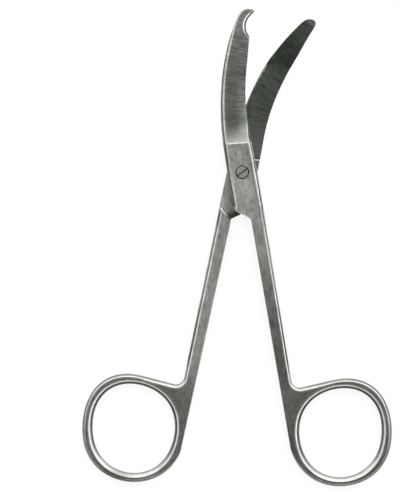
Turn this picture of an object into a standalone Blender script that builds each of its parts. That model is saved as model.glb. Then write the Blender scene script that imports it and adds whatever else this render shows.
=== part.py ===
"""Suture scissors with a hooked blade, lying flat and partly open.

Two forged halves turn on one slotted screw. The pivot axis is the world Z axis, the face that the
scissors lie on is z = 0, and +Y runs from the pivot to the tips. Each half is modelled in its own
frame: outer face up, finger ring on +X, the plane between the two halves at z = 0. The hooked half
goes on top as it is, and the plain half is turned over to lie under it.
"""

import math
from collections import namedtuple

import bmesh
import bpy
from mathutils import Vector

MM = 0.001

# The main sizes: pivot to the ring's centre, pivot to the tip along the blade, and the ring.
HANDLE_LENGTH = 67.0 * MM
BLADE_LENGTH = 41.0 * MM
RING_RADIUS = 13.12 * MM
RING_WALL = 2.53 * MM

# The joint: two flat laps held together by the screw.
OPENING_AT_REST = math.radians(22.0)
LAP_THICKNESS = 1.80 * MM
LAP_CLEARANCE = 0.10 * MM
LAP_HALF_WIDTH = 3.68 * MM
LAP_SPINE_END_Y = -9.0 * MM
LAP_SHANK_END_Y = -11.7 * MM
LAP_CORNER_TUCK = 0.25 * MM
LAP_CORNER_LENGTH = 2.7 * MM
LAP_END_SHARES = (0.06, 0.5, 0.92)
LAP_CORNER_ROWS = ((0.0, 0.0, 0.35), (0.33, 0.7, 0.7), (1.0, 1.0, 1.0))
SHOULDER_GAP = 0.30 * MM
SHOULDER_RUN = 0.60 * MM

# The screw and its seat.
SCREW_HEAD_RADIUS = 1.47 * MM
SCREW_HEAD_HEIGHT = 0.90 * MM
SCREW_SHANK_RADIUS = 1.15 * MM
SCREW_EDGE_BREAK = 0.08 * MM
SCREW_CLEARANCE = 0.08 * MM
HEAD_RECESS_GAP = 0.22 * MM
SLOT_WIDTH = 0.36 * MM
SLOT_DEPTH = 0.45 * MM
SLOT_ANGLE = math.radians(37.5)
STAKE_RADIUS = 0.24 * MM
STAKE_DEPTH = 0.35 * MM
STAKE_ANGLE = math.radians(214.0)
STAKE_SEGMENTS = 14
ROUND_SEGMENTS = 56

# The blades follow one arc, so they lie on each other when the scissors are closed.
SWEEP_START_Y = 8.05 * MM
SWEEP_RADIUS = 60.7 * MM
STEP_Y = 7.08 * MM
STEP_RUN = 0.38 * MM
STEP_DROP = 0.30 * MM
GRIND_SLANT = math.radians(5.7)
RAMP_LENGTH = 5.4 * MM
RAMP_STEPS = 10
BLADE_ROOT_THICKNESS = 1.12 * MM
BLADE_TIP_THICKNESS = 0.78 * MM
BLADE_WEDGE = math.radians(2.6)
BLADE_STATION_PITCH = 1.6 * MM
HOLLOW_START_Y = 3.30 * MM
HOLLOW_DEPTH = 0.12 * MM
HOLLOW_LAND = 0.12 * MM
HOLLOW_OVERRUN = 0.40 * MM
HOLLOW_SLOPE_WIDTH = 0.30 * MM
HOLLOW_END_SETBACK = 7.6 * MM
HOLLOW_RUNOUT = 2.0 * MM
HOLLOW_STATIONS = 14

# The shank and the finger ring.
SHANK_INNER_X = 0.20 * MM
SHANK_TOP_WIDTH = 3.42 * MM
SHANK_END_WIDTH = 3.10 * MM
WEB_RISE = 18.0 * MM
SHANK_STEPS = 5
CONTACT_STEPS = 4
RIM_BLEND_STEPS = 7
RING_HALF_THICKNESS = 1.38 * MM
FILLET_RADIUS = 2.0 * MM
FILLET_STAND_OFF = 1.38 * MM
FILLET_SEGMENTS = 8
TANGENT_ROUNDS = 6

# How far each ring's outside would pass the plane in which the two handles meet.
HOOKED_RING_OVERLAP = 0.07 * MM
PLAIN_RING_OVERLAP = 0.34 * MM

# The ring isn't round: its hole and its outside bulge a little, as a finger ring does.
Lobe = namedtuple("Lobe", "count height direction")
HOLE_LOBES = (
    Lobe(2, 0.44 * MM, math.radians(70.0)),
    Lobe(3, 0.13 * MM, math.radians(34.0)),
    Lobe(4, 0.13 * MM, math.radians(43.0)),
)
OUTSIDE_LOBES = (
    Lobe(2, 0.30 * MM, math.radians(60.0)),
    Lobe(3, 0.21 * MM, math.radians(46.0)),
    Lobe(4, 0.17 * MM, math.radians(46.0)),
)
RING_SEGMENTS = 72

# How steeply the rim may be mitred round a sharp corner of the outline.
LEAST_MITRE = 0.6

# Rims: how far a rounded edge reaches in from the outline, and which share of the height it takes.
Rim = namedtuple("Rim", "width share")
RIM_SPINE = Rim(1.28 * MM, 0.75)
HOOKED_SHANK_RIM = Rim(0.88 * MM, 0.55)
PLAIN_SHANK_RIM = Rim(1.12 * MM, 0.62)
RIM_LAP = Rim(0.84 * MM, 0.55)
RIM_FILLET = Rim(1.25 * MM, 0.65)
RIM_RING = Rim(0.80 * MM, 0.62)
RIM_HOLE = Rim(1.38 * MM, 0.70)
RIM_LAP_END = Rim(0.35 * MM, 0.22)
RIM_GROUND = Rim(0.14 * MM, 0.10)
RIM_CUTTING = Rim(0.15 * MM, 0.82)
RIM_SEGMENTS = 6

# How much wider the outside's and the hole's rims are on the side of the blades than halfway round.
RING_RIM_SWELL = 0.20 * MM
HOLE_RIM_SWELL = -0.25 * MM

# Half the blade's width, by the share of the way from the start of its arc to its tip.
BLADE_HALF_WIDTHS = (
    (0.0, 3.47 * MM),
    (0.18, 3.20 * MM),
    (0.36, 3.02 * MM),
    (0.51, 2.90 * MM),
    (0.64, 2.70 * MM),
    (0.78, 2.20 * MM),
)
HALF_WIDTH_STEPS = 6
TIP_STRETCH = 12.8 * MM

# The last stretch of each blade: along, from the end of BLADE_LENGTH, and across the arc on the
# spine's side, the same on the cutting side, and the two rims' widths. All in millimetres.
HOOKED_TIP = (
    (-11.0, -2.72, -11.0, 2.60, 1.15, 0.15),
    (-9.0, -2.64, -9.2, 2.40, 1.05, 0.16),
    (-7.4, -2.52, -7.8, 2.18, 0.86, 0.20),
    (-6.2, -2.40, -7.0, 2.02, 0.62, 0.30),
    (-5.4, -2.32, -6.4, 1.66, 0.50, 0.48),
    (-4.7, -2.26, -5.85, 1.08, 0.45, 0.70),
    (-4.0, -2.20, -5.0, 0.62, 0.42, 0.88),
    (-3.2, -2.12, -3.9, 0.34, 0.40, 0.95),
    (-2.4, -2.00, -2.8, 0.38, 0.38, 0.90),
    (-1.65, -1.80, -1.8, 0.66, 0.36, 0.76),
    (-0.85, -1.28, -1.05, 1.00, 0.32, 0.56),
    (-0.28, -0.45, -0.55, 1.22, 0.22, 0.36),
    (-0.08, 0.55, -0.25, 1.24, 0.12, 0.16),
)
PLAIN_TIP = (
    (-11.0, -2.75, -11.0, 2.58, 1.10, 0.15),
    (-9.0, -2.62, -9.0, 2.40, 1.05, 0.15),
    (-7.0, -2.42, -7.0, 2.23, 0.95, 0.15),
    (-4.8, -2.10, -5.0, 2.05, 0.85, 0.15),
    (-2.4, -1.72, -2.8, 1.86, 0.70, 0.15),
    (-0.6, -1.42, -1.0, 1.68, 0.52, 0.15),
    (0.35, -1.16, 0.0, 1.32, 0.42, 0.16),
    (0.85, -0.82, 0.55, 0.80, 0.34, 0.18),
    (1.06, -0.32, 0.95, 0.24, 0.22, 0.18),
)
TIP_STEPS = 2

STEEL = {"colour": (0.56, 0.565, 0.54, 1.0), "roughness": 0.34}
SCREW_STEEL = {"colour": (0.50, 0.505, 0.48, 1.0), "roughness": 0.30}

# Values worked out from the sizes above.
MID_PLANE_Z = LAP_THICKNESS + LAP_CLEARANCE / 2
LAP_FACE = LAP_CLEARANCE / 2
LAP_TOP = LAP_FACE + LAP_THICKNESS
BORE_RADIUS = SCREW_SHANK_RADIUS + SCREW_CLEARANCE
HEAD_RECESS_RADIUS = SCREW_HEAD_RADIUS + HEAD_RECESS_GAP
RAMP_START_Y = STEP_Y + STEP_RUN
BLADE_START_Y = RAMP_START_Y + RAMP_LENGTH
EVEN_BLADE_END = BLADE_LENGTH - TIP_STRETCH
WEB_START_Y = WEB_RISE - HANDLE_LENGTH

EdgePoint = namedtuple("EdgePoint", "place rim height")
Rung = namedtuple("Rung", "left right")


def mix(a, b, share):
    return a + (b - a) * share


def mix_rims(a, b, share):
    return Rim(mix(a.width, b.width, share), mix(a.share, b.share, share))


def smooth_rows(rows, steps):
    """Rows of numbers on a Catmull-Rom curve through the given rows."""
    result = []
    for i in range(len(rows) - 1):
        before, after = rows[max(i - 1, 0)], rows[min(i + 2, len(rows) - 1)]
        for step in range(steps):
            t = step / steps
            result.append(tuple(
                0.5 * (2 * b + (c - a) * t + (2 * a - 5 * b + 4 * c - d) * t ** 2
                       + (3 * b - a - 3 * c + d) * t ** 3)
                for a, b, c, d in zip(before, rows[i], rows[i + 1], after)))
    result.append(tuple(rows[-1]))
    return result


def half_width_at(along):
    """Half the blade's width at a distance along its arc."""
    share = max(along - SWEEP_START_Y, 0.0) / (BLADE_LENGTH - SWEEP_START_Y)
    rows = smooth_rows(BLADE_HALF_WIDTHS, HALF_WIDTH_STEPS)
    for (first, wide), (last, narrow) in zip(rows, rows[1:]):
        if share <= last:
            return mix(wide, narrow, (share - first) / (last - first))
    return rows[-1][1]


def on_blade(along, across, bend):
    """A point given along and across the blade's centreline, which turns to +X where bend is 1."""
    if along <= SWEEP_START_Y:
        return Vector((across, along))
    angle = (along - SWEEP_START_Y) / SWEEP_RADIUS
    radius = SWEEP_RADIUS - bend * across
    return Vector((bend * (SWEEP_RADIUS - radius * math.cos(angle)),
                   SWEEP_START_Y + radius * math.sin(angle)))


def height_at(along, tip):
    """Height of the outer face above the plane between the halves."""
    if along <= WEB_START_Y:
        return RING_HALF_THICKNESS
    if along < LAP_SPINE_END_Y:
        share = (along - WEB_START_Y) / (LAP_SPINE_END_Y - WEB_START_Y)
        return mix(RING_HALF_THICKNESS, LAP_TOP, share)
    if along <= STEP_Y:
        return LAP_TOP
    root = LAP_FACE + BLADE_ROOT_THICKNESS
    ramp_top = LAP_TOP - STEP_DROP
    if along <= RAMP_START_Y:
        return mix(LAP_TOP, ramp_top, (along - STEP_Y) / STEP_RUN)
    if along < BLADE_START_Y:
        share = (BLADE_START_Y - along) / RAMP_LENGTH
        return root + (ramp_top - root) * share ** 2
    share = (along - BLADE_START_Y) / (tip - BLADE_START_Y)
    return mix(root, LAP_FACE + BLADE_TIP_THICKNESS, share)


def wedge_at(along, flat):
    """How much the outer face drops to the cutting side, between rims that are so far apart."""
    share = (along - RAMP_START_Y) / RAMP_LENGTH
    return flat * math.tan(BLADE_WEDGE) * min(max(share, 0.0), 1.0)


def spine_rim(width):
    """The blade's rim on its spine: the narrower, the less of the height it takes."""
    return Rim(width, RIM_SPINE.share * width / RIM_SPINE.width)


def rung(along_left, x_left, rim_left, along_right, x_right, rim_right, bend, tip, rise=0.0):
    """A pair of edge points. A slanted rung rises on the left and drops on the right."""
    left = EdgePoint(on_blade(along_left + rise, x_left, bend), rim_left,
                     height_at(along_left, tip))
    flat = x_right - rim_right.width - x_left - rim_left.width
    lower = height_at(along_right, tip) - wedge_at(along_right, flat)
    right = EdgePoint(on_blade(along_right - rise, x_right, bend), rim_right, lower)
    return Rung(left, right)


def shank_rungs(bend, tip, rim):
    """Rungs up the shank, from the web to the slanted end of the lap."""
    top_x = SHANK_INNER_X + SHANK_TOP_WIDTH
    end_x = SHANK_INNER_X + SHANK_END_WIDTH
    rungs = []
    for i in range(SHANK_STEPS + 1):
        y = mix(WEB_START_Y, LAP_SHANK_END_Y, i / SHANK_STEPS)
        outer = mix(end_x, top_x, i / SHANK_STEPS)
        rungs.append(rung(y, SHANK_INNER_X, RIM_GROUND, y, outer, rim, bend, tip))
    corner_x = LAP_CORNER_TUCK - LAP_HALF_WIDTH
    for share in LAP_END_SHARES:
        y = mix(LAP_SHANK_END_Y, LAP_SPINE_END_Y, share)
        inner = mix(SHANK_INNER_X, corner_x, share)
        outer = mix(top_x, LAP_HALF_WIDTH, share)
        rungs.append(rung(y, inner, RIM_LAP_END, y, outer, mix_rims(rim, RIM_LAP, share),
                          bend, tip))
    return rungs


def lap_rungs(bend, tip):
    """Rungs across the flat lap, from its slanted end to the foot of the ramp."""
    corner_x = LAP_CORNER_TUCK - LAP_HALF_WIDTH
    rungs = []
    for share, corner_share, rim_share in LAP_CORNER_ROWS:
        y = LAP_SPINE_END_Y + share * LAP_CORNER_LENGTH
        x = mix(corner_x, -LAP_HALF_WIDTH, corner_share)
        spine = mix_rims(RIM_LAP_END, RIM_SPINE, rim_share)
        rungs.append(rung(y, x, spine, y, LAP_HALF_WIDTH, RIM_LAP, bend, tip))
    root_half = BLADE_HALF_WIDTHS[0][1]
    for y, slant in ((0.0, 0.0), (STEP_Y / 2, GRIND_SLANT / 2), (STEP_Y, GRIND_SLANT),
                     (RAMP_START_Y, GRIND_SLANT)):
        half = mix(LAP_HALF_WIDTH, root_half, y / SWEEP_START_Y)
        rungs.append(rung(y, -half, RIM_SPINE, y, half, RIM_LAP, bend, tip,
                          rise=(half - RIM_SPINE.width) * math.tan(slant)))
    return rungs


def blade_rungs(bend, tip, tip_rows):
    """Rungs up the ramp and the blade, ending at the rows that shape its tip."""
    rungs = []
    for i in range(1, RAMP_STEPS + 1):
        along = mix(RAMP_START_Y, BLADE_START_Y, i / RAMP_STEPS)
        half = half_width_at(along)
        if along < SWEEP_START_Y:
            half = mix(LAP_HALF_WIDTH, BLADE_HALF_WIDTHS[0][1], along / SWEEP_START_Y)
        cutting = mix_rims(RIM_LAP, RIM_CUTTING, i / RAMP_STEPS)
        rise = (half - RIM_SPINE.width) * math.tan(GRIND_SLANT) * (1 - i / RAMP_STEPS)
        rungs.append(rung(along, -half, RIM_SPINE, along, half, cutting, bend, tip, rise=rise))
    steps = round((EVEN_BLADE_END - BLADE_START_Y) / BLADE_STATION_PITCH)
    for i in range(1, steps + 1):
        along = mix(BLADE_START_Y, EVEN_BLADE_END, i / steps)
        half = half_width_at(along)
        spine = spine_rim(mix(RIM_SPINE.width, tip_rows[0][4] * MM, i / steps))
        rungs.append(rung(along, -half, spine, along, half, RIM_CUTTING, bend, tip))
    for row in smooth_rows(tip_rows, TIP_STEPS):
        left_along, left, right_along, right, spine, cutting = (value * MM for value in row)
        rungs.append(rung(BLADE_LENGTH + left_along, left, spine_rim(spine),
                          BLADE_LENGTH + right_along, right, Rim(cutting, RIM_CUTTING.share),
                          bend, tip))
    return rungs


def ring_loop(centre, radius, lobes):
    """Points round the hole or the outside of the ring, counterclockwise from its inner side."""
    points = []
    for i in range(RING_SEGMENTS):
        angle = math.pi + 2 * math.pi * i / RING_SEGMENTS
        bulge = sum(lobe.height * math.cos(lobe.count * (angle - lobe.direction))
                    for lobe in lobes)
        points.append(centre + (radius + bulge) * Vector((math.cos(angle), math.sin(angle))))
    return points


def ring_rim(rim, swell, place, ring_centre):
    """The ring's rim at a place: swell wider on the side of the blades, narrower at the far end."""
    offset = place - ring_centre
    return Rim(rim.width + swell * offset.y / offset.length, rim.share)


def handle_edge(ring_centre, shank_rim):
    """The outline from the shank's inner edge round the ring to the shank's outer edge."""
    ring = ring_loop(ring_centre, RING_RADIUS, OUTSIDE_LOBES)
    start = next(i for i, place in enumerate(ring) if i > 0 and place.x > SHANK_INNER_X)
    share = (SHANK_INNER_X - ring[start - 1].x) / (ring[start].x - ring[start - 1].x)
    share = min(max(share, 0.0), 1.0)
    corner = Vector((SHANK_INNER_X, mix(ring[start - 1].y, ring[start].y, share)))

    fillet_x = SHANK_INNER_X + SHANK_END_WIDTH + FILLET_RADIUS
    reach = RING_RADIUS + FILLET_STAND_OFF + FILLET_RADIUS
    rise = math.sqrt(max(reach ** 2 - (ring_centre.x - fillet_x) ** 2, FILLET_RADIUS ** 2))
    fillet = Vector((fillet_x, ring_centre.y + rise))
    slope = 0.0
    for _ in range(TANGENT_ROUNDS):
        touch = fillet + FILLET_RADIUS * Vector((math.sin(slope), -math.cos(slope)))
        slope, end = max((math.atan2(place.y - touch.y, place.x - touch.x), i)
                         for i, place in enumerate(ring) if place.x > touch.x + FILLET_RADIUS)

    points = []
    for i in range(1, CONTACT_STEPS):
        y = mix(WEB_START_Y, corner.y, i / CONTACT_STEPS)
        points.append((Vector((SHANK_INNER_X, y)), RIM_GROUND))
    points.append((corner, RIM_GROUND))
    for i, place in enumerate(ring[start:end + 1]):
        rim = ring_rim(RIM_RING, RING_RIM_SWELL, place, ring_centre)
        points.append((place, mix_rims(RIM_GROUND, rim, min(i / RIM_BLEND_STEPS, 1.0))))
    points.append((mix(ring[end], touch, 0.5), RIM_FILLET))
    for i in range(FILLET_SEGMENTS + 1):
        angle = mix(slope - math.pi / 2, -math.pi, i / FILLET_SEGMENTS)
        place = fillet + FILLET_RADIUS * Vector((math.cos(angle), math.sin(angle)))
        points.append((place, mix_rims(RIM_FILLET, shank_rim, i / FILLET_SEGMENTS)))
    return [EdgePoint(place, rim, RING_HALF_THICKNESS) for place, rim in points]


def inward_offsets(points):
    """For each point of a loop with material on its left, the mitred unit offset into it."""
    offsets = []
    for i, point in enumerate(points):
        before = (point - points[i - 1]).normalized()
        after = (points[(i + 1) % len(points)] - point).normalized()
        first, second = Vector((-before.y, before.x)), Vector((-after.y, after.x))
        offsets.append((first + second) / max(1 + first.dot(second), LEAST_MITRE))
    return offsets


def rim_loops(bm, edge_points):
    """The rounded rim along a closed outline, as loops from the top face down to the bottom face."""
    places = [point.place for point in edge_points]
    offsets = inward_offsets(places)
    quarter = [math.pi / 2 * (1 - k / RIM_SEGMENTS) for k in range(RIM_SEGMENTS + 1)]
    layers = [(angle, 1) for angle in quarter] + [(angle, -1) for angle in reversed(quarter)]
    loops = []
    for angle, side in layers:
        loop = []
        for point, offset in zip(edge_points, offsets):
            place = point.place + offset * (point.rim.width * (1 - math.cos(angle)))
            z = point.height * (1 - point.rim.share * (1 - math.sin(angle)))
            loop.append(bm.verts.new((place.x, place.y, side * z)))
        loops.append(loop)
    count = len(edge_points)
    for upper, lower in zip(loops, loops[1:]):
        for i in range(count):
            j = (i + 1) % count
            bm.faces.new((upper[i], lower[i], lower[j], upper[j]))
    return loops[0], loops[-1]


def face_loop(bm, face_verts, rung_count, hole_verts, upwards):
    """Close one face: ladder faces between the rungs, then the flat of the ring and its web."""
    left = face_verts[:rung_count][::-1]
    right = face_verts[-rung_count:]
    for i in range(rung_count - 1):
        corners = (left[i], right[i], right[i + 1], left[i + 1])
        bm.faces.new(corners if upwards else corners[::-1])
    flat = face_verts[rung_count - 1:len(face_verts) - rung_count + 1]
    edges = [bm.edges.get((a, b)) for a, b in zip(flat, flat[1:] + flat[:1])]
    edges += [bm.edges.get((a, b)) for a, b in zip(hole_verts, hole_verts[1:] + hole_verts[:1])]
    normal = Vector((0, 0, 1 if upwards else -1))
    bmesh.ops.triangle_fill(bm, use_beauty=True, edges=edges, normal=normal)


def forged_blank(name, bend, tip_rows, ring_overlap, shank_rim):
    """The forging before grinding: full thickness throughout, with every outer edge rounded."""
    tip = BLADE_LENGTH + max(tip_rows[-1][0], tip_rows[-1][2]) * MM
    rungs = shank_rungs(bend, tip, shank_rim) + lap_rungs(bend, tip)
    rungs += blade_rungs(bend, tip, tip_rows)
    ring_centre = Vector((RING_RADIUS - ring_overlap, -HANDLE_LENGTH))
    outline = [each.left for each in reversed(rungs)] + handle_edge(ring_centre, shank_rim)
    outline += [each.right for each in rungs]
    hole = [EdgePoint(place, ring_rim(RIM_HOLE, HOLE_RIM_SWELL, place, ring_centre),
                      RING_HALF_THICKNESS)
            for place in ring_loop(ring_centre, RING_RADIUS - RING_WALL, HOLE_LOBES)[::-1]]

    bm = bmesh.new()
    top, bottom = rim_loops(bm, outline)
    hole_top, hole_bottom = rim_loops(bm, hole)
    face_loop(bm, top, len(rungs), hole_top, True)
    face_loop(bm, bottom, len(rungs), hole_bottom, False)
    bmesh.ops.recalc_face_normals(bm, faces=bm.faces)
    return mesh_object(name, bm)


def mesh_object(name, bm):
    mesh = bpy.data.meshes.new(name)
    bm.to_mesh(mesh)
    bm.free()
    obj = bpy.data.objects.new(name, mesh)
    bpy.context.scene.collection.objects.link(obj)
    return obj


def hide_as_cutter(obj, parent):
    obj.parent = parent
    obj.hide_render = True
    obj.display_type = "WIRE"


def cut(obj, cutter):
    hide_as_cutter(cutter, obj)
    modifier = obj.modifiers.new(cutter.name, "BOOLEAN")
    modifier.operation = "DIFFERENCE"
    modifier.solver = "EXACT"
    modifier.object = cutter


def loft_object(name, sections):
    """A closed solid through sections of equally many points."""
    bm = bmesh.new()
    rings = [[bm.verts.new(point) for point in section] for section in sections]
    count = len(rings[0])
    for first, second in zip(rings, rings[1:]):
        for i in range(count):
            j = (i + 1) % count
            bm.faces.new((first[i], first[j], second[j], second[i]))
    bm.faces.new(rings[0])
    bm.faces.new(rings[-1][::-1])
    bmesh.ops.recalc_face_normals(bm, faces=bm.faces)
    return mesh_object(name, bm)


def lap_cutter(name):
    """Takes away the inner half of the forging, from the sloped shoulder to the tip."""
    reach = 2 * BLADE_HALF_WIDTHS[0][1] + SWEEP_RADIUS / 4
    beyond_tip = SWEEP_START_Y + SWEEP_RADIUS
    below = -2 * LAP_TOP
    rise = (LAP_SPINE_END_Y - LAP_SHANK_END_Y) / (LAP_HALF_WIDTH - LAP_CORNER_TUCK + SHANK_INNER_X)
    shoulder_run = SHOULDER_RUN * (LAP_FACE - below) / LAP_THICKNESS
    sections = []
    for x in (-reach, reach):
        foot = LAP_SHANK_END_Y + rise * (x + SHANK_INNER_X) - SHOULDER_GAP * math.hypot(1, rise)
        sections.append([(x, foot, LAP_FACE), (x, beyond_tip, LAP_FACE),
                         (x, beyond_tip, below), (x, foot - shoulder_run, below)])
    return loft_object(name, sections)


def hollow_cutter(name, bend):
    """Hollows the inner face of the blade: a land stays along the cutting edge and at the tip."""
    margin = 2 * HOLLOW_DEPTH
    rise = BLADE_HALF_WIDTHS[0][1] * math.tan(GRIND_SLANT)
    outlines = []
    for z in (LAP_FACE - margin, LAP_FACE + HOLLOW_DEPTH):
        sunk = (z - LAP_FACE) / HOLLOW_DEPTH
        first = HOLLOW_START_Y + HOLLOW_SLOPE_WIDTH * sunk
        last = BLADE_LENGTH - HOLLOW_END_SETBACK - HOLLOW_RUNOUT * sunk
        land = HOLLOW_LAND + HOLLOW_SLOPE_WIDTH * sunk
        spine, cutting = [], []
        for i in range(HOLLOW_STATIONS + 1):
            along = mix(first, last, i / HOLLOW_STATIONS)
            half = half_width_at(along)
            slanted = rise * (1 - i / HOLLOW_STATIONS)
            spine.append(on_blade(along + slanted, -half - HOLLOW_OVERRUN, bend).to_3d())
            cutting.append(on_blade(along - slanted, half - land, bend).to_3d())
        outlines.append([place + Vector((0, 0, z)) for place in cutting + spine[::-1]])
    return loft_object(name, outlines)


def cylinder_cutter(name, radius, low, high, segments=ROUND_SEGMENTS):
    bm = bmesh.new()
    bmesh.ops.create_cone(bm, cap_ends=True, segments=segments, radius1=radius,
                          radius2=radius, depth=high - low)
    bmesh.ops.translate(bm, verts=bm.verts, vec=(0, 0, (low + high) / 2))
    return mesh_object(name, bm)


def make_half(name, bend, tip_rows, ring_overlap, shank_rim, holds_head):
    """One half: a forged blank with its lap milled, its blade hollowed and its bore drilled."""
    half = forged_blank(name, bend, tip_rows, ring_overlap, shank_rim)
    cut(half, lap_cutter(name + "_lap_cut"))
    cut(half, hollow_cutter(name + "_hollow_cut", bend))
    cut(half, cylinder_cutter(name + "_bore_cut", BORE_RADIUS, -LAP_TOP, 2 * LAP_TOP))
    if holds_head:
        floor = LAP_TOP - SCREW_HEAD_HEIGHT - SCREW_CLEARANCE
        cut(half, cylinder_cutter(name + "_head_cut", HEAD_RECESS_RADIUS, floor, 2 * LAP_TOP))
    return half


def make_screw(name):
    """The slotted pivot screw, turned about Z, its head up and its tail on z = 0."""
    total = 2 * MID_PLANE_Z
    seat = total - SCREW_HEAD_HEIGHT
    edge = SCREW_EDGE_BREAK
    profile = ((0, 0), (SCREW_SHANK_RADIUS, 0), (SCREW_SHANK_RADIUS, seat),
               (SCREW_HEAD_RADIUS, seat), (SCREW_HEAD_RADIUS, total - edge),
               (SCREW_HEAD_RADIUS - edge, total), (0, total))
    bm = bmesh.new()
    corners = [bm.verts.new((r, 0, z)) for r, z in profile]
    edges = [bm.edges.new(pair) for pair in zip(corners, corners[1:])]
    bmesh.ops.spin(bm, geom=corners + edges, cent=(0, 0, 0), axis=(0, 0, 1),
                   angle=2 * math.pi, steps=ROUND_SEGMENTS, use_merge=True)
    bmesh.ops.remove_doubles(bm, verts=bm.verts, dist=0.001 * MM)
    bmesh.ops.recalc_face_normals(bm, faces=bm.faces)
    screw = mesh_object(name, bm)

    bm = bmesh.new()
    bmesh.ops.create_cube(bm, size=1)
    bmesh.ops.scale(bm, verts=bm.verts, vec=(4 * SCREW_HEAD_RADIUS, SLOT_WIDTH, 2 * SLOT_DEPTH))
    slot = mesh_object(name + "_slot_cut", bm)
    slot.location = (0, 0, total)
    slot.rotation_euler = (0, 0, SLOT_ANGLE)
    cut(screw, slot)

    stake = cylinder_cutter(name + "_stake_cut", STAKE_RADIUS, total - STAKE_DEPTH, 2 * total,
                            segments=STAKE_SEGMENTS)
    stake.location = (SCREW_HEAD_RADIUS * math.cos(STAKE_ANGLE),
                      SCREW_HEAD_RADIUS * math.sin(STAKE_ANGLE), 0)
    cut(screw, stake)
    return screw


def steel_material(name, finish):
    material = bpy.data.materials.new(name)
    material.use_nodes = True
    shader = material.node_tree.nodes["Principled BSDF"]
    shader.inputs["Base Color"].default_value = finish["colour"]
    shader.inputs["Roughness"].default_value = finish["roughness"]
    shader.inputs["Metallic"].default_value = 1.0
    return material


def finish_object(obj, material):
    obj.data.materials.append(material)
    obj.data.shade_smooth()
    obj.data.set_sharp_from_angle(angle=math.radians(35))


def pivot_empty(name, angle):
    """An empty on the pivot axis, in the plane between the halves."""
    empty = bpy.data.objects.new(name, None)
    empty.location = (0, 0, MID_PLANE_Z)
    empty.rotation_euler = (0, 0, angle)
    bpy.context.scene.collection.objects.link(empty)
    return empty


def build():
    for obj in list(bpy.data.objects):
        bpy.data.objects.remove(obj)

    steel = steel_material("satin_steel", STEEL)
    screw_steel = steel_material("screw_steel", SCREW_STEEL)

    hooked = make_half("hooked_half", 1, HOOKED_TIP, HOOKED_RING_OVERLAP, HOOKED_SHANK_RIM,
                       holds_head=True)
    hooked.parent = pivot_empty("hooked_pivot", OPENING_AT_REST / 2)
    finish_object(hooked, steel)

    plain = make_half("plain_half", -1, PLAIN_TIP, PLAIN_RING_OVERLAP, PLAIN_SHANK_RIM,
                      holds_head=False)
    plain.parent = pivot_empty("plain_pivot", -OPENING_AT_REST / 2)
    plain.rotation_euler = (0, math.pi, 0)
    finish_object(plain, steel)

    screw = make_screw("pivot_screw")
    finish_object(screw, screw_steel)


build()
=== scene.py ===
"""Looks of the suture scissors: brushed and ground steel on a pale floor, seen from straight above."""

import math

import bpy
from mathutils import Matrix, Vector

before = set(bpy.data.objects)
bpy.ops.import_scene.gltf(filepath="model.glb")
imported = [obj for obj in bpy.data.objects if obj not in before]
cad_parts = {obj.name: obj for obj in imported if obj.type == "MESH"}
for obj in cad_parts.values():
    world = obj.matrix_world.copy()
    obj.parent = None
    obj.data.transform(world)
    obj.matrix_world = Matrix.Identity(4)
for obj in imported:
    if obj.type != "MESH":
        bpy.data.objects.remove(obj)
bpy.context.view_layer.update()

MM = 0.001

# The photograph's frame: its size, the pivot's place in it, its scale and the object's tilt.
IMAGE_WIDTH = 400
IMAGE_HEIGHT = 492
PIVOT_PIXEL = (242.21, 172.34)
PIXEL = 0.2454 * MM
TILT = math.radians(-1.265)

# The camera: its lens and sensor, the height at which the scale holds, and its clipping
# distances as parts of its own distance.
LENS = 600.0
SENSOR = 36.0
FOCUS_HEIGHT = 3.0 * MM
CLIP_NEAR = 0.01
CLIP_FAR = 10.0

# Sizes that follow the CAD source, in millimetres in each half's own frame.
HALF_OPENING = math.radians(11.0)
MID_PLANE_Z = 1.85
SWEEP_START_Y = 8.05
SWEEP_RADIUS = 60.7
STEP_Y = 7.08
GRIND_SLANT = math.radians(5.7)
RING_CENTRE = {"hooked": (13.05, -67.0), "plain": (12.78, -67.0)}
RING_RADIUS = 13.12
HOLLOW_START_Y = 3.30
LAP_TOP_Z = 1.85
RECESS_RADIUS = 1.69
LAP_END = ((0.20, -11.7), (-3.43, -9.0))
SCREW_TOP_Z = 2 * MID_PLANE_Z

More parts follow.
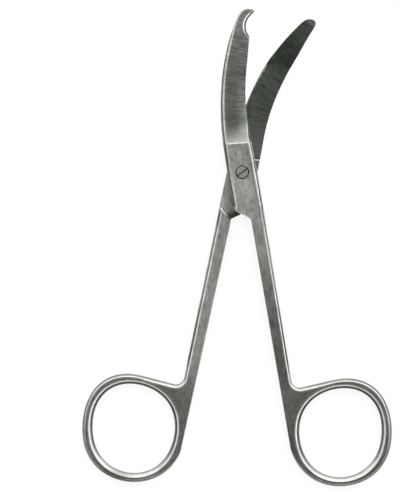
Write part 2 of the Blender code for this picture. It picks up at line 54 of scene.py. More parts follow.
# Masks over a half, from 0 to 1. Each is the product of its terms. A term is a measure with the
# values at which it counts as 0 and as 1, an earlier mask, or "not" and an earlier mask.
MASKS = {
    # The finishes: ground blade, finger ring, inner face, and the hollow ground into that face.
    "blade": (("slanted", STEP_Y + 0.30, STEP_Y + 0.50),),
    "ring": (("radius", 13.9, 12.9), ("y", -50.0, -54.0)),
    "inner": (("up", -0.4, -0.7), ("z", -0.6, -0.3)),
    "hollow": (("slanted_along", HOLLOW_START_Y + 0.1, HOLLOW_START_Y + 0.3),),
    "hollow_face": ("inner", "hollow"),
    "ramp": ("blade", ("along", 13.0, 11.0)),

    # Rounded edges and walls, by how level the face is, and the edges of the hollow. The rims
    # carry a painted highlight; the walls, the steep parts of the rims and the edge of the hollow
    # carry painted shade, and the start of the hollow a faint painted highlight.
    "rim": (("slope", 0.996, 0.96), "not inner"),
    "steep": ("rim", ("slope", 0.93, 0.87)),
    "wall": (("slope", 0.84, 0.66),),
    "brink": ("inner", ("slope", 0.985, 0.955)),
    "start_brink": ("brink", ("along", 4.8, 4.2)),
    "edge_brink": ("brink", ("along", 4.2, 4.8)),

    # The lap: its step to the ramp, which carries a painted highlight, its darker edge, and the
    # screw's recess, which is darkened.
    "step_line": (("slanted", STEP_Y - 0.10, STEP_Y + 0.05),
                  ("slanted", STEP_Y + 0.45, STEP_Y + 0.25), ("x", -2.75, -2.45)),
    "lap_edge": (("x", 0.9, 2.2), ("y", -13.0, -9.0)),
    "recess": (("from_pivot", RECESS_RADIUS + 0.10, RECESS_RADIUS),
               ("from_middle", LAP_TOP_Z, LAP_TOP_Z - 0.06)),

    # The lap's slanted end: a painted highlight on its shoulder, painted shade along the end of the
    # inner face (the mask named scale), and a painted highlight on the corner of its rim.
    "shoulder": (("from_shoulder", -1.6, -1.4), ("z", -0.05, -0.20), ("up", -0.75, -0.55),
                 ("up", -0.12, -0.25), ("x", 3.55, 3.30)),
    # Painted shade near the lap's end, where the shoulder and the other half shade the inner face.
    "scale": ("inner", ("from_end", 2.3, 0.6), "not shoulder"),
    "corner": ("rim", ("z", 0.0, 0.3), ("from_end", 1.1, 0.8), ("x", 0.1, -0.7)),

    # The blade: the wall at its root, its spine, the rims of hook and tip, the strips along it that
    # carry painted highlights, its middle, and the specks near its edge. Root wall, spine and the
    # rims of hook and tip set the strength of the painted highlight and shade on rims and walls.
    "root_wall": ("blade", ("along", 18.0, 16.8), ("along", 10.5, 14.5), ("to_edge", 1.0, 2.0)),
    "spine": ("blade", ("to_edge", -1.0, -1.8)),
    "spine_rim": ("spine", "rim"),
    "hook_rim": ("rim", ("along", 31.0, 34.0), ("to_edge", 0.0, 0.8)),
    "hook_steep": ("hook_rim", ("slope", 0.97, 0.90)),
    "tip_rim": ("rim", ("along", 35.0, 37.5), ("to_edge", 0.0, -0.8)),
    "edge_strip": (("to_edge", 0.0, 2.6), ("along", 8.5, 10.8), ("along", 26.0, 19.0)),
    "edge_line": (("to_edge", 2.3, 2.7), ("along", 11.0, 15.0), ("along", 17.8, 16.8)),
    "spine_strip": (("to_edge", -1.2, -2.5), ("along", 9.5, 11.5), ("along", 25.0, 19.0)),
    "middle": (("along", 15.0, 20.0), ("along", 35.0, 30.0)),
    "specks": ("hollow_face", ("to_edge", 1.5, 2.3), ("speckle", 0.30, 0.48)),

    # The ring: the top and the foot of its hole, its far end, and a band round the hole. The
    # wall at the top of the hole, the far end and the band carry painted shade, the foot a painted
    # highlight.
    "hole_top": (("radius", 12.0, 11.5), ("ring_y", 1.0, 7.0)),
    "hole_foot_highlight": ("rim", ("radius", 12.2, 11.8), ("ring_y", -6.0, -10.0)),
    "ring_end_shade": (("radius", 12.2, 12.8), ("ring_y", -4.0, -9.0)),
    "hole_band_shade": (("radius", 12.05, 12.20), ("radius", 12.60, 12.45), ("ring_y", -4.0, -9.0)),
}

# Masks that differ between the halves: the turn from satin shank to finer web, and the outer side
# of the upper handle, where the rim carries a painted highlight and the walls less painted shade.
SIDE_MASKS = {
    "hooked": {
        "web": (("y", -30.0, -60.0),),
        "outer": (("x", 1.5, 2.5), ("y", -40.0, -30.0), "not blade"),
    },
    "plain": {
        "web": (("y", -46.0, -58.0),),
        "outer": (("x", 1.5, 2.5), ("y", -40.0, -30.0), "not blade", ("y", -12.5, -14.5)),
    },
}

# The fillet between ring and shank: its middle and its radii. There the walls and steep rims
# carry less painted shade, and the steep rims a slight painted highlight.
FILLET = ((5.3, -52.4), (6.5, 5.0))

# Streaks lie lengthwise on shank and lap, crosswise on the blade and round the ring. Each of the
# ways gives the measure across them and the one along them.
STREAK_WAYS = (("x", "y"), ("along", "across"), ("radius", "round_ring"))

# Each kind of streak: its pitch, its length on shank, blade and ring, and its first seed.
STREAKS = {
    "coarse": (0.42, (3.0, 8.0, 3.0), 1),
    "wide": (1.10, (7.0, 7.0, 7.0), 6),
    "small": (0.10, (2.0, 2.0, 2.0), 11),
}

# Uneven patches over the whole half: the scale and the detail of their noise.
PATCHES = {
    "cloud": (0.16, 3.0),
    "mottle": (0.9, 3.0),
    "cast": (0.20, 1.0),
}
SPECKLE_SCALE = 1.5
SPECKLE_DETAIL = 1.0

# Layers are masks in order, each with the value that it mixes towards.
SATIN_ROUGHNESS = 0.33
ROUGHNESS_LAYERS = (("web", 0.25), ("ring", 0.24), ("blade", 0.23), ("rim", 0.17),
                    ("step_line", 0.09))
LAPPED_ROUGHNESS = 0.29
HOLLOW_ROUGHNESS = 0.15
ROUGHNESS_PATTERNS = {"coarse": 0.030, "small": 0.020, "cloud": 0.022, "mottle": 0.020}
RAMP_UNEVENNESS = 0.1

# How strongly each pattern shows in the brightness, with its layers, and how strongly all do.
BRIGHTNESS_PATTERNS = {
    "coarse": (0.42, (("blade", 0.27), ("upper_blade", 0.62))),
    "wide": (0.22, ()),
    "small": (0.14, (("blade", 0.20), ("upper_blade", 0.50))),
    "cloud": (0.10, ()),
    "mottle": (0.30, (("blade", 0.17),)),
}
CONTRAST_LAYERS = (("fine_satin", 0.65), ("inner", 0.6), ("hollow_face", 1.65), ("ramp", 0.07))

# Tones along the handle, the blade and its hollow: the level at the start, and then from where,
# to where, and the level reached.
SHANK_TONES = {
    "hooked": (1.0, ((-11.0, -15.0, 0.86), (-20.0, -31.0, 0.53), (-50.0, -56.0, 0.80))),
    "plain": (1.0, ((-11.0, -15.0, 0.97), (-50.0, -56.0, 0.90))),
}
BLADE_TONES = (0.92, ((9.0, 12.5, 0.74), (22.0, 31.0, 0.98), (33.0, 37.0, 1.35)))
HOLLOW_TONES = (1.6, ((7.0, 17.0, 1.10), (25.5, 29.5, 0.58), (33.0, 38.5, 0.95),
                      (40.3, 41.3, 3.2)))
# Strips of painted highlight along the blade: the level in each.
BLADE_HIGHLIGHT_STRIPS = {"edge_strip": 1.75, "edge_line": 1.50, "spine_strip": 1.40}
LAP_EDGE_LEVEL = 0.88

# Tones across and along the lapped inner face: from where, to where, and the level at each.
# Across it they are painted shade, darker towards the other half's lap.
LAPPED_SHADE_ACROSS = (0.4, 3.6, 0.86, 1.28)
LAPPED_LENGTHWISE = (-2.0, 1.5, 1.0, 0.75)

# Single marks: their middle, their radii, and the level of the steel in their middle.
# A lighter patch on the lap.
LIGHTER_LAP_PATCH = ((-1.2, -3.5), (5.0, 9.0), 1.20)
# Painted light on the lapped inner face, away from the other half's lap.
LAPPED_LIGHT_SPOT = ((3.6, -9.4), (1.5, 3.2), 1.7)
MARKS = {
    "hooked": (((0.21, 12.85), (0.30, 0.30), 1.85), ((0.21, 12.85), (2.6, 2.6), 0.88),
               ((-0.62, 2.55), (0.22, 0.75), 0.65), ((-0.5, -69.5), (3.2, 7.5), 0.64)),
    "plain": (((15.2, -79.7), (6.5, 2.2), 0.55),),
}

# How far a mask brightens or darkens the steel: the factor where the mask is 1, here and in
# SIDE_LEVELS. Levels above 1 are painted highlights. Levels below 1 are painted shade, except
# for the recess and the specks, which are only darkened.
LEVELS = {
    "rim": 1.15,
    "hook_rim": 0.85,
    "hook_steep": 0.45,
    "tip_rim": 0.55,
    "spine_rim": 0.90,
    "outer_rim": 1.10,
    "step_line": 1.6,
    "start_brink": 1.05,
    "edge_brink": 0.12,
    "recess": 0.18,
    # painted shade near the lap's end
    "scale": 0.20,
    "shoulder": 5.0,
    "hole_foot_highlight": 1.25,
    "ring_end_shade": 0.88,
    "specks": 0.55,
}
SIDE_LEVELS = {"hooked": {"corner": 1.75, "hole_band_shade": 0.60}, "plain": {"hole_band_shade": 0.85}}

# The same factor for the walls and for the steep part of the rims, which differs by place: painted
# shade, and a slight painted highlight where the factor is above 1.
WALL_LEVEL = 0.28
ROOT_WALL_LEVEL = 0.80
HOLE_WALL_LEVEL = 0.62
HOLE_TOP_LEVEL = 0.18
WALL_LAYERS = (("fillet", 0.72), ("spine", 0.44), ("outer", 0.44), ("corner", 1.0))
STEEP_LEVEL = 0.68
STEEP_LAYERS = (("spine_rim", 1.15), ("fillet", 1.15), ("outer", 1.0), ("step_line", 1.0))

# Colours of the steel at full brightness.
SATIN_COLOUR = (0.580, 0.580, 0.538, 1.0)
RIM_COLOUR = (0.580, 0.576, 0.562, 1.0)
BLADE_SHEEN_COLOUR = (0.558, 0.602, 0.512, 1.0)
BLADE_SHEEN = ((0.0, 23.6), (3.2, 3.6))
HOLLOW_GREY = (0.545, 0.545, 0.515, 1.0)
HOLLOW_GREEN = (0.495, 0.557, 0.490, 1.0)
HOLLOW_CAST = (-0.35, 0.35)
HOLLOW_COLOURS = (((24.0, 30.0), (0.508, 0.582, 0.505, 1.0)),
                  ((36.0, 39.0), (0.58, 0.53, 0.51, 1.0)))

# The relief of the streaks: its depth, the share of the coarse ones, and its layers.
HALF_RELIEF = 0.0012 * MM
COARSE_RELIEF = 1.2
RELIEF_LAYERS = (("inner", 0.5), ("ramp", 0.015))

# The screw: its turning marks and scuffs. Roughness and brightness each have a base, a share from
# the turning and a share from the scuffs.
TURNING_PITCH = 0.07
TURNING_LENGTH = 6.0
TURNING_SEED = 4.0
SCUFF_SCALE = 2.2
SCUFF_DETAIL = 3.0
SCREW_ROUGHNESS = (0.33, 0.03, 0.04)
SCREW_BRIGHTNESS = (0.57, 0.10, 0.14)
SCREW_TINT = (1.0, 1.01, 0.94)
SCREW_RELIEF = 0.0015 * MM
SLOT_DEPTHS = (0.03, 0.14)
SLOT_LEVEL = 0.30

# Which edges stay creases when the shading is smoothed.
CREASE_ANGLE = math.radians(29)
INNER_CREASE_ANGLE = math.radians(8)
INNER_REACH = 0.25

# The edge break on the CAD nodes, and the cleaning of their faces before it.
WELD_DISTANCE = 0.0005 * MM
FLAT_ANGLE = math.radians(0.3)
EDGE_BREAK = 0.04 * MM
EDGE_BREAK_FACES = 2
EDGE_BREAK_ANGLE = math.radians(40)
NORMAL_WEIGHT = 60

# The floor: half its width, its height, its grey, and the glow that only the camera and
# reflections see.
FLOOR_REACH = 12.0
FLOOR_Z = -0.02 * MM
FLOOR_COLOUR = (0.35, 0.35, 0.35, 1.0)
FLOOR_GLOW = 0.8
WHITE = (1.0, 1.0, 1.0, 1.0)

# The dome of light. Reaches are in degrees from straight above, from where a change starts to
# where it is complete.
GLOW_STARTS = (9, 27)
GLOW_ENDS = (60, 42)
GLOW_LEVEL = 1.10
GLOW_TO_NORTH = 0.30
GLOW_TO_EAST = 0.22
WINDOW_NORTH = (0.25, 0.75)
WINDOW_STARTS = (30, 45)
WINDOW_ENDS = (86, 76)
WINDOW_LEVEL = 0.86
FILL_REACH = (8, 30)
FILL_LEVELS = (0.08, 0.13)
HORIZON_REACH = (87, 89)
HORIZON_LEVELS = (0.0, 0.85)
TOP_REACH = (8, 24)
TOP_COLOUR = (0.95, 1.02, 0.95, 1.0)
LEAST_SINE = 0.05


class Nodes:
    """A node tree that takes sockets, numbers and tuples alike as inputs."""

    def __init__(self, tree):
        self.tree = tree
        tree.nodes.clear()

    def add(self, kind, inputs=None, **settings):
        """A new node with these settings and inputs."""
        node = self.tree.nodes.new(kind)
        for name, value in settings.items():
            setattr(node, name, value)
        for name, value in (inputs or {}).items():
            self.feed(node.inputs[name], value)
        return node

    def feed(self, socket, value):
        """Links a socket to an input, or sets a plain value on it."""
        if isinstance(value, bpy.types.NodeSocket):
            self.tree.links.new(value, socket)
        else:
            socket.default_value = value

    def math(self, operation, first, second=None, third=None, clamp=False):
        node = self.add("ShaderNodeMath", operation=operation, use_clamp=clamp)
        for socket, value in zip(node.inputs, (first, second, third)):
            if value is not None:
                self.feed(socket, value)
        return node.outputs[0]

    def times(self, first, *others):
        """The product of all the values."""
        for other in others:
            first = self.math("MULTIPLY", first, other)
        return first

    def scaled(self, value, factor, base):
        """A value times a factor, plus a base."""
        return self.math("MULTIPLY_ADD", value, factor, base)

    def opposite(self, mask):
        """1 where a mask is 0, and 0 where it is 1."""
        return self.math("SUBTRACT", 1.0, mask)

    def squares(self, x, y):
        """The sum of two squares."""
        return self.math("ADD", self.math("POWER", x, 2.0), self.math("POWER", y, 2.0))

    def distance(self, x, y):
        """The length of a flat vector."""
        return self.math("SQRT", self.squares(x, y))

    def dot(self, vector, direction):
        node = self.add("ShaderNodeVectorMath", {0: vector, 1: direction}, operation="DOT_PRODUCT")
        return node.outputs["Value"]

    def join(self, x, y, z=0.0):
        return self.add("ShaderNodeCombineXYZ", {"X": x, "Y": y, "Z": z}).outputs[0]

    def paint(self, red, green, blue):
        return self.add("ShaderNodeCombineColor",
                        {"Red": red, "Green": green, "Blue": blue}).outputs[0]

    def step(self, value, low, high, to_low=0.0, to_high=1.0):
        """A smooth step of a value from to_low to to_high."""
        node = self.add("ShaderNodeMapRange", {"Value": value, "From Min": low, "From Max": high,
                                               "To Min": to_low, "To Max": to_high},
                        interpolation_type="SMOOTHSTEP")
        return node.outputs[0]

    def mix(self, share, first, second):
        node = self.add("ShaderNodeMix", data_type="FLOAT")
        for name, value in (("Factor", share), ("A", first), ("B", second)):
            self.feed(node.inputs[name], value)
        return node.outputs["Result"]

    def mix_colour(self, share, first, second, blend="MIX"):
        node = self.add("ShaderNodeMix", data_type="RGBA", blend_type=blend)
        self.feed(node.inputs["Factor"], share)
        for socket, value in zip([s for s in node.inputs if s.type == "RGBA"], (first, second)):
            self.feed(socket, value)
        return next(s for s in node.outputs if s.type == "RGBA")

    def noise(self, vector, scale, detail):
        """Noise from about -1 to 1."""
        node = self.add("ShaderNodeTexNoise", {"Vector": vector, "Scale": scale, "Detail": detail})
        return self.scaled(node.outputs[0], 2.0, -1.0)

    def grain(self, across, along, pitch, length, seed):
        """Streaks: noise that changes every pitch across them and every length along them."""
        vector = self.join(self.times(across, 1.0 / pitch), self.times(along, 1.0 / length), seed)
        return self.noise(vector, 1.0, 2.0)

    def spot(self, x, y, centre, radii):
        """1 at a place and 0 beyond an ellipse round it."""
        away_x = self.scaled(x, 1.0 / radii[0], -centre[0] / radii[0])
        away_y = self.scaled(y, 1.0 / radii[1], -centre[1] / radii[1])
        away = self.squares(self.math("ABSOLUTE", away_x), self.math("ABSOLUTE", away_y))
        return self.step(away, 1.0, 0.0)

    def tone_curve(self, value, start, changes):
        """A tone that begins at start and turns smoothly to each new level between two places."""
        tone = start
        for low, high, level in changes:
            tone = self.mix(self.step(value, low, high), tone, level)
        return tone

    def layered(self, start, masks, layers):
        """A value that each layer's mask mixes towards the layer's own."""
        value = start
        for name, own in layers:
            value = self.mix(masks[name], value, own)
        return value

    def levelled(self, value, mask, level):
        """A value that is multiplied by the level where the mask is 1."""
        return self.times(value, self.mix(mask, 1.0, level))

    def marked(self, value, x, y, mark):
        """A value that is changed by one mark."""
        centre, radii, level = mark
        return self.levelled(value, self.spot(x, y, centre, radii), level)


def new_material(name):
    """A material and its empty node tree."""
    material = bpy.data.materials.new(name)
    material.use_nodes = True
    return material, Nodes(material.node_tree)


def finish_steel(nodes, colour, roughness, height, relief):
    """Bare metal with a colour, a roughness and a fine relief."""
    bump = nodes.add("ShaderNodeBump", {"Height": height, "Strength": 1.0, "Distance": relief})
    shader = nodes.add("ShaderNodeBsdfPrincipled", {
        "Base Color": colour, "Roughness": roughness, "Metallic": 1.0,
        "Normal": bump.outputs[0]})
    nodes.add("ShaderNodeOutputMaterial", {"Surface": shader.outputs[0]})


def half_measures(nodes, side):
    """What masks and patterns are made from, in millimetres in the half's own frame, by name.

    The plain half lies underside up, so both halves have x towards the outer side of the handle
    and z towards the outer face.
    """
    turn, flip = (HALF_OPENING, 1.0) if side == "hooked" else (-HALF_OPENING, -1.0)
    place = nodes.add("ShaderNodeTexCoord").outputs["Object"]
    normal = nodes.add("ShaderNodeNewGeometry").outputs["Normal"]
    cosine, sine = math.cos(turn) / MM, math.sin(turn) / MM
    x = nodes.dot(place, (flip * cosine, flip * sine, 0.0))
    y = nodes.dot(place, (-sine, cosine, 0.0))
    z = nodes.scaled(nodes.dot(place, (0.0, 0.0, 1.0 / MM)), flip, -flip * MID_PLANE_Z)
    up = nodes.dot(normal, (0.0, 0.0, flip))

    # Along and across the blade's arc.
    inward = nodes.scaled(x, -flip, SWEEP_RADIUS)
    beyond = nodes.math("MAXIMUM", nodes.math("SUBTRACT", y, SWEEP_START_Y), 0.0)
    along = nodes.math("ADD", nodes.times(nodes.math("ARCTAN2", beyond, inward), SWEEP_RADIUS),
                       nodes.math("MINIMUM", y, SWEEP_START_Y))
    across = nodes.math("SUBTRACT", SWEEP_RADIUS, nodes.distance(inward, beyond))

    # Round the ring.
    centre_x, centre_y = RING_CENTRE[side]
    ring_x = nodes.math("SUBTRACT", x, centre_x)
    ring_y = nodes.math("SUBTRACT", y, centre_y)

    # Up from the slanted end of the lap, and from the shoulder, which slants the other way.
    (end_x, end_y), (corner_x, corner_y) = LAP_END
    run, rise = corner_x - end_x, corner_y - end_y
    length = math.hypot(run, rise)
    from_end = nodes.scaled(x, rise / length, nodes.scaled(
        y, -run / length, (end_y * run - end_x * rise) / length))

    return {
        "x": x, "y": y, "z": z, "up": up,
        "slope": nodes.math("ABSOLUTE", up),
        "from_middle": nodes.math("ABSOLUTE", z),
        "from_pivot": nodes.distance(x, y),
        "along": along, "across": across,
        "to_edge": nodes.times(across, flip),
        "slanted": nodes.scaled(x, math.tan(GRIND_SLANT), y),
        "slanted_along": nodes.scaled(x, math.tan(GRIND_SLANT), along),
        "radius": nodes.distance(ring_x, ring_y),
        "ring_y": ring_y,
        "round_ring": nodes.times(nodes.math("ARCTAN2", ring_y, ring_x), RING_RADIUS),
        "from_end": from_end,
        "from_shoulder": nodes.scaled(x, -2 * rise / length, from_end),
        "speckle": nodes.noise(nodes.join(along, across), SPECKLE_SCALE, SPECKLE_DETAIL),
    }


def mask_term(nodes, term, measures, masks):
    """One term of a mask, as MASKS writes it."""
    if isinstance(term, tuple):
        name, low, high = term
        return nodes.step(measures[name], low, high)
    if term.startswith("not "):
        return nodes.opposite(masks[term.removeprefix("not ")])
    return masks[term]


def half_masks(nodes, measures, side):
    """All masks of a half, by name."""
    masks = {}
    for name, terms in (MASKS | SIDE_MASKS[side]).items():
        masks[name] = nodes.times(*(mask_term(nodes, term, measures, masks) for term in terms))
    masks["ground"] = nodes.math("MAXIMUM", masks["blade"], masks["hollow_face"])
    masks["fine_satin"] = nodes.math("MAXIMUM", masks["web"], masks["ring"])
    masks["outer_rim"] = nodes.times(masks["outer"], masks["rim"])
    masks["fillet"] = nodes.spot(measures["x"], measures["y"], *FILLET)
    masks["upper_blade"] = nodes.times(masks["middle"], nodes.opposite(
        nodes.math("MAXIMUM", masks["inner"], masks["rim"])))
    return masks


def half_patterns(nodes, measures, masks):
    """The streaks of each finish, and the uneven patches over all of them, by name."""
    patterns = {}
    for kind, (pitch, lengths, first_seed) in STREAKS.items():
        shank, blade, ring = (
            nodes.grain(measures[across], measures[along], pitch, length, seed)
            for seed, ((across, along), length) in enumerate(zip(STREAK_WAYS, lengths), first_seed))
        patterns[kind] = nodes.mix(masks["ring"], nodes.mix(masks["ground"], shank, blade), ring)
    point = nodes.join(measures["x"], measures["y"], measures["z"])
    for kind, (scale, detail) in PATCHES.items():
        patterns[kind] = nodes.noise(point, scale, detail)
    return patterns


def half_roughness(nodes, masks, patterns):
    """Satin lap and shank, finer towards the ring, ground blade, lapped inner face."""
    rough = nodes.layered(SATIN_ROUGHNESS, masks, ROUGHNESS_LAYERS)
    rough = nodes.mix(masks["inner"], rough,
                      nodes.mix(masks["hollow"], LAPPED_ROUGHNESS, HOLLOW_ROUGHNESS))
    unevenness = nodes.mix(masks["ramp"], 1.0, RAMP_UNEVENNESS)
    for kind, amount in ROUGHNESS_PATTERNS.items():
        rough = nodes.scaled(nodes.times(patterns[kind], unevenness), amount, rough)
    return rough


def half_tone(nodes, measures, masks, side):
    """Tones, painted highlights on the blade, and painted light and shade on the lapped face."""
    x, y, along = measures["x"], measures["y"], measures["along"]
    shank = nodes.mix(masks["rim"], nodes.tone_curve(y, *SHANK_TONES[side]), 1.0)
    shank = nodes.marked(shank, x, y, LIGHTER_LAP_PATCH)
    shank = nodes.levelled(shank, masks["lap_edge"], LAP_EDGE_LEVEL)
    blade = nodes.tone_curve(along, *BLADE_TONES)
    for name, level in BLADE_HIGHLIGHT_STRIPS.items():
        blade = nodes.levelled(blade, masks[name], level)
    lapped = nodes.times(nodes.step(x, *LAPPED_SHADE_ACROSS), nodes.step(y, *LAPPED_LENGTHWISE))
    lapped = nodes.marked(lapped, x, y, LAPPED_LIGHT_SPOT)
    inner = nodes.mix(masks["hollow"], lapped, nodes.tone_curve(along, *HOLLOW_TONES))
    return nodes.mix(masks["inner"], nodes.mix(masks["blade"], shank, blade), inner)


def half_brightness(nodes, measures, masks, patterns, side):
    """How light each place is: streaks, patches, tone, painted highlight and shade, single marks."""
    streaks = 0.0
    for kind, (amount, layers) in BRIGHTNESS_PATTERNS.items():
        streaks = nodes.scaled(patterns[kind], nodes.layered(amount, masks, layers), streaks)
    contrast = nodes.layered(1.0, masks, CONTRAST_LAYERS)
    bright = nodes.times(nodes.scaled(streaks, contrast, 1.0),
                         half_tone(nodes, measures, masks, side))
    for name, level in (LEVELS | SIDE_LEVELS[side]).items():
        bright = nodes.levelled(bright, masks[name], level)

    wall_level = nodes.mix(masks["ring"], nodes.mix(masks["root_wall"], WALL_LEVEL, ROOT_WALL_LEVEL),
                           nodes.mix(masks["hole_top"], HOLE_WALL_LEVEL, HOLE_TOP_LEVEL))
    wall_level = nodes.layered(wall_level, masks, WALL_LAYERS)
    bright = nodes.levelled(bright, masks["wall"], wall_level)
    steep_level = nodes.layered(STEEP_LEVEL, masks, STEEP_LAYERS)
    bright = nodes.levelled(bright, masks["steep"], steep_level)
    for mark in MARKS[side]:
        bright = nodes.marked(bright, measures["x"], measures["y"], mark)
    return bright


def half_colour(nodes, measures, masks, patterns, bright):
    """Warm grey steel, with a faint green cast in the hollow and on the blade's middle."""
    along = measures["along"]
    hollow = nodes.mix_colour(nodes.step(patterns["cast"], *HOLLOW_CAST), HOLLOW_GREY, HOLLOW_GREEN)
    for reach, colour in HOLLOW_COLOURS:
        hollow = nodes.mix_colour(nodes.step(along, *reach), hollow, colour)
    steel = nodes.mix_colour(masks["rim"], SATIN_COLOUR, RIM_COLOUR)
    sheen = nodes.times(masks["blade"], nodes.spot(measures["to_edge"], along, *BLADE_SHEEN))
    steel = nodes.mix_colour(sheen, steel, BLADE_SHEEN_COLOUR)
    steel = nodes.mix_colour(masks["hollow_face"], steel, hollow)
    return nodes.mix_colour(1.0, steel, nodes.paint(bright, bright, bright), "MULTIPLY")


def half_steel(name, side):
    """Steel of one half: brushed shank and lap, round-brushed ring, ground blade."""
    material, nodes = new_material(name)
    measures = half_measures(nodes, side)
    masks = half_masks(nodes, measures, side)
    patterns = half_patterns(nodes, measures, masks)
    bright = half_brightness(nodes, measures, masks, patterns, side)
    colour = half_colour(nodes, measures, masks, patterns, bright)
    roughness = half_roughness(nodes, masks, patterns)
    height = nodes.times(nodes.scaled(patterns["coarse"], COARSE_RELIEF, patterns["small"]),
                         nodes.layered(1.0, masks, RELIEF_LAYERS))
    finish_steel(nodes, colour, roughness, height, HALF_RELIEF)
    return material


def screw_steel(name):
    """Turned steel: rings round the axis, scuffs on the head, and a dark slot."""
    material, nodes = new_material(name)
    place = nodes.add("ShaderNodeTexCoord").outputs["Object"]
    x = nodes.dot(place, (1 / MM, 0.0, 0.0))
    y = nodes.dot(place, (0.0, 1 / MM, 0.0))
    z = nodes.dot(place, (0.0, 0.0, 1 / MM))
    turned = nodes.grain(nodes.distance(x, y), nodes.math("ARCTAN2", y, x),
                         TURNING_PITCH, TURNING_LENGTH, TURNING_SEED)
    scuff = nodes.noise(nodes.join(x, y), SCUFF_SCALE, SCUFF_DETAIL)
    rough, bright = (
        nodes.scaled(scuff, from_scuffs, nodes.scaled(turned, from_turning, base))
        for base, from_turning, from_scuffs in (SCREW_ROUGHNESS, SCREW_BRIGHTNESS))
    sunk = nodes.step(z, *(SCREW_TOP_Z - depth for depth in SLOT_DEPTHS))
    bright = nodes.levelled(bright, sunk, SLOT_LEVEL)
    colour = nodes.paint(*(nodes.times(bright, tint) for tint in SCREW_TINT))
    finish_steel(nodes, colour, rough, turned, SCREW_RELIEF)
    return material


def crease_group():
    """Marks creases: every steep edge, and the shallow ones of the ground inner faces."""
    group = bpy.data.node_groups.new("creases", "GeometryNodeTree")
    group.interface.new_socket("Geometry", in_out="INPUT", socket_type="NodeSocketGeometry")
    group.interface.new_socket("Geometry", in_out="OUTPUT", socket_type="NodeSocketGeometry")
    nodes = Nodes(group)
    start = nodes.add("NodeGroupInput").outputs[0]
    angle = nodes.add("GeometryNodeInputMeshEdgeAngle").outputs["Unsigned Angle"]
    place = nodes.add("GeometryNodeInputPosition").outputs[0]
    height = nodes.add("ShaderNodeSeparateXYZ", {0: place}).outputs["Z"]
    from_middle = nodes.math("ABSOLUTE", nodes.math("SUBTRACT", height, MID_PLANE_Z * MM))
    steep = nodes.math("GREATER_THAN", angle, CREASE_ANGLE)
    shallow = nodes.times(nodes.math("GREATER_THAN", angle, INNER_CREASE_ANGLE),
                          nodes.math("LESS_THAN", from_middle, INNER_REACH * MM))
    creased = nodes.math("MAXIMUM", steep, shallow)
    marked = nodes.add("GeometryNodeSetShadeSmooth", {
        "Geometry": start, "Selection": creased, "Shade Smooth": False}, domain="EDGE")
    nodes.add("NodeGroupOutput", {0: marked.outputs[0]})
    return group


def refine(node, material, creases):
    """Joins a CAD node's split corners and flat faces, breaks its edges, smooths its shading."""
    node.data.materials.clear()
    node.data.materials.append(material)
    weld = node.modifiers.new("weld", "WELD")
    weld.merge_threshold = WELD_DISTANCE
    flat = node.modifiers.new("flat_faces", "DECIMATE")
    flat.decimate_type = "DISSOLVE"
    flat.angle_limit = FLAT_ANGLE
    bevel = node.modifiers.new("edge_break", "BEVEL")
    bevel.width = EDGE_BREAK
    bevel.segments = EDGE_BREAK_FACES
    bevel.limit_method = "ANGLE"
    bevel.angle_limit = EDGE_BREAK_ANGLE
    bevel.use_clamp_overlap = True
    marks = node.modifiers.new("creases", "NODES")
    marks.node_group = creases
    smooth = node.modifiers.new("weighted_normals", "WEIGHTED_NORMAL")
    smooth.keep_sharp = True
    smooth.weight = NORMAL_WEIGHT


def make_floor():
    """A pale floor that stays white in the picture and keeps a soft shadow."""
    mesh = bpy.data.meshes.new("floor")
    mesh.from_pydata([(x * FLOOR_REACH, y * FLOOR_REACH, 0.0)
                      for x, y in ((-1, -1), (1, -1), (1, 1), (-1, 1))], [], [(0, 1, 2, 3)])
    floor = bpy.data.objects.new("floor", mesh)
    floor.location.z = FLOOR_Z
    bpy.context.scene.collection.objects.link(floor)
    material, nodes = new_material("pale_floor")
    path = nodes.add("ShaderNodeLightPath").outputs
    seen = nodes.math("ADD", path["Is Camera Ray"], path["Is Glossy Ray"], clamp=True)
    seen = nodes.math("ADD", seen, path["Is Transmission Ray"], clamp=True)
    diffuse = nodes.add("ShaderNodeBsdfDiffuse", {"Color": FLOOR_COLOUR})
    glow = nodes.add("ShaderNodeEmission", {"Color": WHITE,
                                            "Strength": nodes.times(seen, FLOOR_GLOW)})
    both = nodes.add("ShaderNodeAddShader", {0: diffuse.outputs[0], 1: glow.outputs[0]})
    nodes.add("ShaderNodeOutputMaterial", {"Surface": both.outputs[0]})
    mesh.materials.append(material)


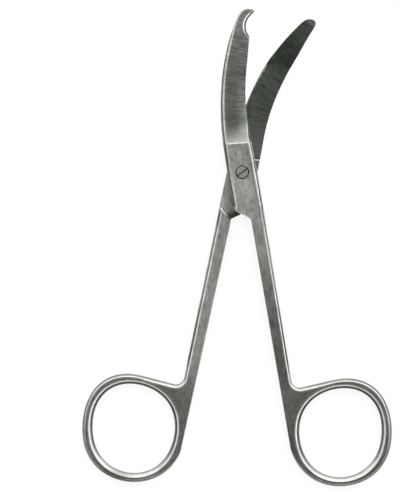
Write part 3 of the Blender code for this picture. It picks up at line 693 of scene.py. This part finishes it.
def make_world():
    """A soft dome: bright round the camera, strongest beyond the tips, dark at its top."""
    world = bpy.data.worlds.new("soft_dome")
    bpy.context.scene.world = world
    world.use_nodes = True
    nodes = Nodes(world.node_tree)
    direction = nodes.add("ShaderNodeTexCoord").outputs["Generated"]
    top = nodes.dot(direction, (0.0, 0.0, 1.0))
    off = nodes.math("ARCCOSINE", nodes.math("MINIMUM", top, 1.0))
    sine = nodes.math("MAXIMUM", nodes.math("SINE", off), LEAST_SINE)
    north = nodes.math("DIVIDE", nodes.dot(direction, (0.0, 1.0, 0.0)), sine)
    east = nodes.math("DIVIDE", nodes.dot(direction, (1.0, 0.0, 0.0)), sine)

    def by_height(reach, levels=(0.0, 1.0)):
        """A smooth change from one level to another over a reach of degrees."""
        return nodes.step(off, math.radians(reach[0]), math.radians(reach[1]), *levels)

    weight = nodes.scaled(east, GLOW_TO_EAST, nodes.scaled(north, GLOW_TO_NORTH, GLOW_LEVEL))
    glow = nodes.times(by_height(GLOW_STARTS), by_height(GLOW_ENDS), weight)
    window = nodes.times(nodes.step(north, *WINDOW_NORTH), by_height(WINDOW_STARTS),
                         by_height(WINDOW_ENDS), WINDOW_LEVEL)
    level = nodes.math("ADD", nodes.math("MAXIMUM", glow, window), nodes.math(
        "ADD", by_height(FILL_REACH, FILL_LEVELS), by_height(HORIZON_REACH, HORIZON_LEVELS)))
    colour = nodes.mix_colour(by_height(TOP_REACH), TOP_COLOUR, WHITE)
    background = nodes.add("ShaderNodeBackground", {"Color": colour, "Strength": level})
    nodes.add("ShaderNodeOutputWorld", {"Surface": background.outputs[0]})


def make_camera():
    """A long lens straight above, rolled as the photograph is."""
    data = bpy.data.cameras.new("camera")
    data.lens = LENS
    data.sensor_width = SENSOR
    camera = bpy.data.objects.new("camera", data)
    bpy.context.scene.collection.objects.link(camera)
    distance = IMAGE_HEIGHT * PIXEL * LENS / SENSOR
    offset = Vector((IMAGE_WIDTH / 2 - PIVOT_PIXEL[0], PIVOT_PIXEL[1] - IMAGE_HEIGHT / 2, 0.0))
    roll = Matrix.Rotation(-TILT, 4, "Z")
    place = roll @ (offset * PIXEL) + Vector((0.0, 0.0, distance + FOCUS_HEIGHT))
    camera.matrix_world = Matrix.Translation(place) @ roll
    data.clip_start = distance * CLIP_NEAR
    data.clip_end = distance * CLIP_FAR
    bpy.context.scene.camera = camera


creases = crease_group()
refine(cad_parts["hooked_half"], half_steel("hooked_half_steel", "hooked"), creases)
refine(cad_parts["plain_half"], half_steel("plain_half_steel", "plain"), creases)
refine(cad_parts["pivot_screw"], screw_steel("pivot_screw_steel"), creases)

make_floor()
make_world()
make_camera()
bpy.context.scene.view_settings.view_transform = "Standard"
